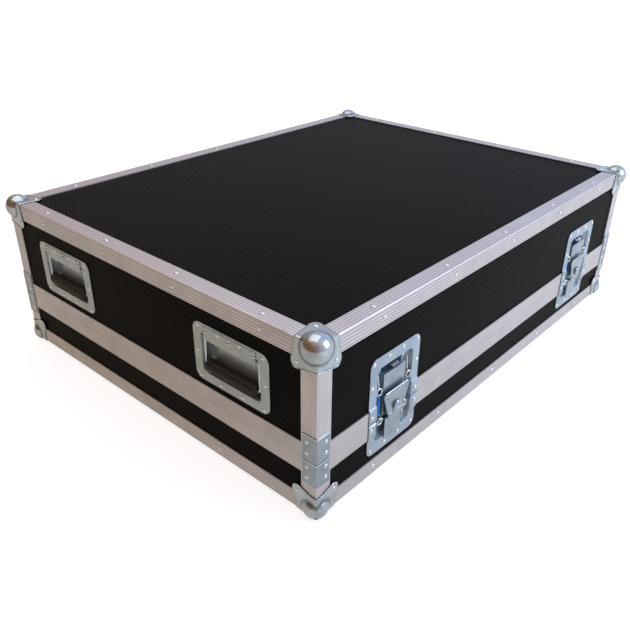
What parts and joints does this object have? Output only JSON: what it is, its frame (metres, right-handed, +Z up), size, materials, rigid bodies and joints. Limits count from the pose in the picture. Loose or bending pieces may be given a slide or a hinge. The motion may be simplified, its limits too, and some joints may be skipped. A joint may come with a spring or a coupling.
{
  "type": "lighting console flight case",
  "caption": "Flight case for a lighting console: dark laminated boards, ribbed aluminium edging, ball corners, recessed twist latches, sprung handles and a lift-off lid.",
  "frame": {"origin": "on the floor, under the middle of the case's overall outline", "axes": "+X along the long sides, -Y towards the front long side, +Z up through the lid"},
  "size_m": [1.054, 0.827, 0.32],
  "materials": {
    "board": "black phenolic laminate on birch plywood, fine hexagon texture",
    "aluminium": "satin anodised ribbed extrusion",
    "zinc_steel": "pressed steel, bright zinc plated",
    "bright_steel": "zinc plated steel, smoother than the dishes",
    "rubber_grip": "black moulded ribbed rubber over a steel bar"
  },
  "bodies": {
    "tray": {"tray_floor": "board", "tray_wall_front": "board", "tray_wall_back": "board", "tray_wall_left": "board", "tray_wall_right": "board", "tray_edging_left": "aluminium", "tray_edging_right": "aluminium", "tray_frame_front_left": "aluminium", "tray_ball_corner_front_left": "zinc_steel", "tray_frame_front_right": "aluminium", "tray_ball_corner_front_right": "zinc_steel", "tray_frame_back_left": "aluminium", "tray_ball_corner_back_left": "zinc_steel", "tray_frame_back_right": "aluminium", "tray_ball_corner_back_right": "zinc_steel", "latch_front_left_tray_dish": "zinc_steel", "latch_front_right_tray_dish": "zinc_steel", "latch_back_left_tray_dish": "zinc_steel", "latch_back_right_tray_dish": "zinc_steel"},
    "lid": {"lid_top": "board", "lid_wall_front": "board", "lid_wall_back": "board", "lid_wall_left": "board", "lid_wall_right": "board", "lid_edging_left": "aluminium", "lid_edging_right": "aluminium", "lid_frame_front_left": "aluminium", "lid_ball_corner_front_left": "zinc_steel", "lid_frame_front_right": "aluminium", "lid_ball_corner_front_right": "zinc_steel", "lid_frame_back_left": "aluminium", "lid_ball_corner_back_left": "zinc_steel", "lid_frame_back_right": "aluminium", "lid_ball_corner_back_right": "zinc_steel", "latch_front_left_lid_dish": "zinc_steel", "latch_front_right_lid_dish": "zinc_steel", "latch_back_left_lid_dish": "zinc_steel", "latch_back_right_lid_dish": "zinc_steel", "handle_left_front_dish": "zinc_steel", "handle_left_back_dish": "zinc_steel", "handle_right_front_dish": "zinc_steel", "handle_right_back_dish": "zinc_steel"},
    "latch_front_left_spindle": {"latch_front_left_spindle": "bright_steel"},
    "latch_front_left_wing": {"latch_front_left_wing": "zinc_steel"},
    "latch_front_left_hook": {"latch_front_left_hook": "bright_steel"},
    "latch_front_right_spindle": {"latch_front_right_spindle": "bright_steel"},
    "latch_front_right_wing": {"latch_front_right_wing": "zinc_steel"},
    "latch_front_right_hook": {"latch_front_right_hook": "bright_steel"},
    "latch_back_left_spindle": {"latch_back_left_spindle": "bright_steel"},
    "latch_back_left_wing": {"latch_back_left_wing": "zinc_steel"},
    "latch_back_left_hook": {"latch_back_left_hook": "bright_steel"},
    "latch_back_right_spindle": {"latch_back_right_spindle": "bright_steel"},
    "latch_back_right_wing": {"latch_back_right_wing": "zinc_steel"},
    "latch_back_right_hook": {"latch_back_right_hook": "bright_steel"},
    "handle_left_front_bail": {"handle_left_front_bail": "rubber_grip"},
    "handle_left_back_bail": {"handle_left_back_bail": "rubber_grip"},
    "handle_right_front_bail": {"handle_right_front_bail": "rubber_grip"},
    "handle_right_back_bail": {"handle_right_back_bail": "rubber_grip"}
  },
  "joints": [
    {"name": "lid_lift", "type": "slide", "parent": "tray", "child": "lid", "axis": [0, 0, 1], "range_m": [0, 0.3]},
    {"name": "latch_front_left_twist", "type": "hinge", "parent": "lid", "child": "latch_front_left_spindle", "pos_m": [-0.334, -0.406, 0.124], "axis": [0, -1, 0], "range_deg": [0, 180]},
    {"name": "latch_front_left_fold", "type": "hinge", "parent": "latch_front_left_spindle", "child": "latch_front_left_wing", "pos_m": [-0.334, -0.40675, 0.1125], "axis": [1, 0, 0], "range_deg": [0, 90]},
    {"name": "latch_front_left_draw", "type": "slide", "parent": "lid", "child": "latch_front_left_hook", "axis": [0, -0.5508, 0.8346], "range_m": [0, 0.00599]},
    {"name": "latch_front_right_twist", "type": "hinge", "parent": "lid", "child": "latch_front_right_spindle", "pos_m": [0.334, -0.406, 0.124], "axis": [0, -1, 0], "range_deg": [0, 180]},
    {"name": "latch_front_right_fold", "type": "hinge", "parent": "latch_front_right_spindle", "child": "latch_front_right_wing", "pos_m": [0.334, -0.40675, 0.1125], "axis": [1, 0, 0], "range_deg": [0, 90]},
    {"name": "latch_front_right_draw", "type": "slide", "parent": "lid", "child": "latch_front_right_hook", "axis": [0, -0.5508, 0.8346], "range_m": [0, 0.00599]},
    {"name": "latch_back_left_twist", "type": "hinge", "parent": "lid", "child": "latch_back_left_spindle", "pos_m": [-0.334, 0.406, 0.124], "axis": [0, 1, 0], "range_deg": [0, 180]},
    {"name": "latch_back_left_fold", "type": "hinge", "parent": "latch_back_left_spindle", "child": "latch_back_left_wing", "pos_m": [-0.334, 0.40675, 0.1125], "axis": [-1, 0, 0], "range_deg": [0, 90]},
    {"name": "latch_back_left_draw", "type": "slide", "parent": "lid", "child": "latch_back_left_hook", "axis": [0, 0.5508, 0.8346], "range_m": [0, 0.00599]},
    {"name": "latch_back_right_twist", "type": "hinge", "parent": "lid", "child": "latch_back_right_spindle", "pos_m": [0.334, 0.406, 0.124], "axis": [0, 1, 0], "range_deg": [0, 180]},
    {"name": "latch_back_right_fold", "type": "hinge", "parent": "latch_back_right_spindle", "child": "latch_back_right_wing", "pos_m": [0.334, 0.40675, 0.1125], "axis": [-1, 0, 0], "range_deg": [0, 90]},
    {"name": "latch_back_right_draw", "type": "slide", "parent": "lid", "child": "latch_back_right_hook", "axis": [0, 0.5508, 0.8346], "range_m": [0, 0.00599]},
    {"name": "handle_left_front_swing", "type": "hinge", "parent": "lid", "child": "handle_left_front_bail", "pos_m": [-0.511, -0.227, 0.23398], "axis": [0, 1, 0], "range_deg": [0, 90], "stiffness_Nm_per_rad": 0.3},
    {"name": "handle_left_back_swing", "type": "hinge", "parent": "lid", "child": "handle_left_back_bail", "pos_m": [-0.511, 0.227, 0.23398], "axis": [0, 1, 0], "range_deg": [0, 90], "stiffness_Nm_per_rad": 0.3},
    {"name": "handle_right_front_swing", "type": "hinge", "parent": "lid", "child": "handle_right_front_bail", "pos_m": [0.511, -0.227, 0.23398], "axis": [0, -1, 0], "range_deg": [0, 90], "stiffness_Nm_per_rad": 0.3},
    {"name": "handle_right_back_swing", "type": "hinge", "parent": "lid", "child": "handle_right_back_bail", "pos_m": [0.511, 0.227, 0.23398], "axis": [0, -1, 0], "range_deg": [0, 90], "stiffness_Nm_per_rad": 0.3}
  ],
  "couplings": [
    {"joint": "latch_front_left_twist", "follows": "latch_front_left_draw", "rad_per_m": 524.38},
    {"joint": "latch_front_right_twist", "follows": "latch_front_right_draw", "rad_per_m": 524.38},
    {"joint": "latch_back_left_twist", "follows": "latch_back_left_draw", "rad_per_m": 524.38},
    {"joint": "latch_back_right_twist", "follows": "latch_back_right_draw", "rad_per_m": 524.38}
  ]
}
